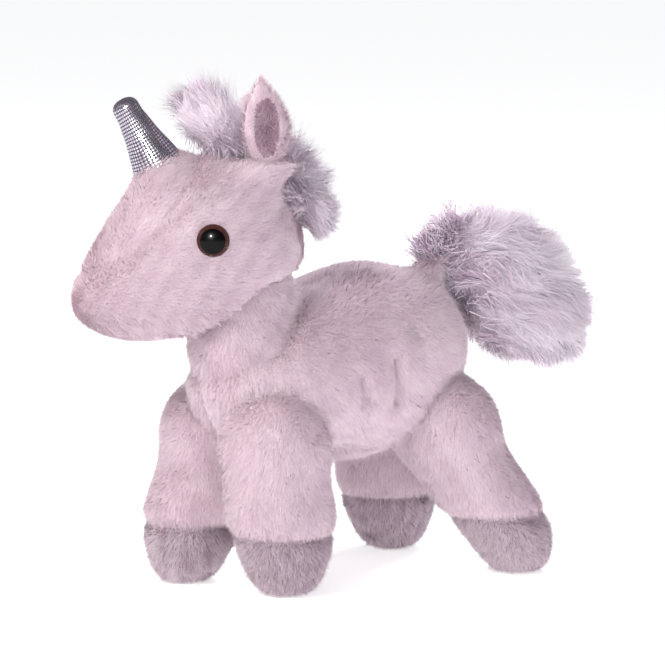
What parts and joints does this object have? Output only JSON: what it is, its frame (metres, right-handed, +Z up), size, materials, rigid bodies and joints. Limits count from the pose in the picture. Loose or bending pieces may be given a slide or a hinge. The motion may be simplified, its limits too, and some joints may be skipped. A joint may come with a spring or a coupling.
{
  "type": "plush unicorn",
  "caption": "Standing plush unicorn with a foil-cloth horn, long-pile mane and tail, short-pile hooves and limbs that bend at their seams.",
  "frame": {"origin": "on the floor, under the middle of the toy's box", "axes": "+X from the nose end to the tail end, +Y towards the toy's right side, +Z up"},
  "size_m": [0.2162, 0.0972, 0.1921],
  "materials": {
    "fur_fabric": "matte",
    "long_pile": "matte",
    "short_pile": "matte",
    "foil_cloth": "satin",
    "fibre_fill": "matte",
    "pellet_cloth": "matte",
    "eye_brown": "gloss",
    "eye_black": "gloss",
    "washer_plastic": "matte"
  },
  "bodies": {
    "torso": {"torso_left_panel": "fur_fabric", "torso_right_panel": "fur_fabric", "belly_gusset": "fur_fabric", "torso_stuffing": "fibre_fill", "belly_pellet_bag": "pellet_cloth"},
    "neck": {"neck_cover": "fur_fabric", "neck_stuffing": "fibre_fill"},
    "head": {"head_left_panel": "fur_fabric", "head_right_panel": "fur_fabric", "forehead_gusset": "fur_fabric", "head_stuffing": "fibre_fill", "forelock": "long_pile", "mane": "long_pile", "eye_left_dome": "eye_brown", "eye_left_pupil_post": "eye_black", "eye_left_lock_washer": "washer_plastic", "eye_right_dome": "eye_brown", "eye_right_pupil_post": "eye_black", "eye_right_lock_washer": "washer_plastic"},
    "horn": {"horn_cover": "foil_cloth", "horn_stuffing": "fibre_fill"},
    "ear_left": {"ear_left_back": "fur_fabric", "ear_left_lining": "short_pile"},
    "ear_right": {"ear_right_back": "fur_fabric", "ear_right_lining": "short_pile"},
    "tail": {"tail_core": "fibre_fill", "tail_brush": "long_pile"},
    "leg_front_left": {"front_left_leg_cover": "fur_fabric", "front_left_hoof_cover": "short_pile", "front_left_leg_stuffing": "fibre_fill", "front_left_foot_pellets": "pellet_cloth"},
    "leg_front_right": {"front_right_leg_cover": "fur_fabric", "front_right_hoof_cover": "short_pile", "front_right_leg_stuffing": "fibre_fill", "front_right_foot_pellets": "pellet_cloth"},
    "leg_hind_left": {"hind_left_leg_cover": "fur_fabric", "hind_left_hoof_cover": "short_pile", "hind_left_leg_stuffing": "fibre_fill", "hind_left_foot_pellets": "pellet_cloth"},
    "leg_hind_right": {"hind_right_leg_cover": "fur_fabric", "hind_right_hoof_cover": "short_pile", "hind_right_leg_stuffing": "fibre_fill", "hind_right_foot_pellets": "pellet_cloth"}
  },
  "joints": [
    {"name": "neck_turn", "type": "hinge", "parent": "torso", "child": "neck", "pos_m": [-0.04686, 0.00034, 0.091], "axis": [0, 0, 1], "range_deg": [-8, 45], "stiffness_Nm_per_rad": 0.5},
    {"name": "head_nod", "type": "hinge", "parent": "neck", "child": "head", "pos_m": [-0.04686, 0.00034, 0.111], "axis": [0.454, 0.891, 0], "range_deg": [-10, 8], "stiffness_Nm_per_rad": 0.6},
    {"name": "horn_bend", "type": "hinge", "parent": "head", "child": "horn", "pos_m": [-0.07404, 0.01418, 0.155], "axis": [0.454, 0.891, 0], "range_deg": [-10, 10], "stiffness_Nm_per_rad": 0.05},
    {"name": "ear_left_fold", "type": "hinge", "parent": "head", "child": "ear_left", "pos_m": [-0.04722, -0.01688, 0.1565], "axis": [0.891, -0.454, 0], "range_deg": [-8, 50], "stiffness_Nm_per_rad": 0.02},
    {"name": "ear_right_fold", "type": "hinge", "parent": "head", "child": "ear_right", "pos_m": [-0.03314, 0.01074, 0.1565], "axis": [-0.891, 0.454, 0], "range_deg": [-36, 20], "stiffness_Nm_per_rad": 0.02},
    {"name": "tail_wag", "type": "hinge", "parent": "torso", "child": "tail", "pos_m": [0.03714, 0.00034, 0.115], "axis": [0, 0, 1], "range_deg": [-25, 25], "stiffness_Nm_per_rad": 0.1},
    {"name": "front_left_leg_swing", "type": "hinge", "parent": "torso", "child": "leg_front_left", "pos_m": [-0.04586, -0.02016, 0.056], "axis": [0, 1, 0], "range_deg": [-20, 20], "stiffness_Nm_per_rad": 0.6},
    {"name": "front_right_leg_swing", "type": "hinge", "parent": "torso", "child": "leg_front_right", "pos_m": [-0.04786, 0.02084, 0.056], "axis": [0, 1, 0], "range_deg": [-20, 20], "stiffness_Nm_per_rad": 0.6},
    {"name": "hind_left_leg_swing", "type": "hinge", "parent": "torso", "child": "leg_hind_left", "pos_m": [0.02814, -0.02166, 0.056], "axis": [0, 1, 0], "range_deg": [-20, 20], "stiffness_Nm_per_rad": 0.6},
    {"name": "hind_right_leg_swing", "type": "hinge", "parent": "torso", "child": "leg_hind_right", "pos_m": [0.02814, 0.02234, 0.056], "axis": [0, 1, 0], "range_deg": [-20, 20], "stiffness_Nm_per_rad": 0.6}
  ]
}
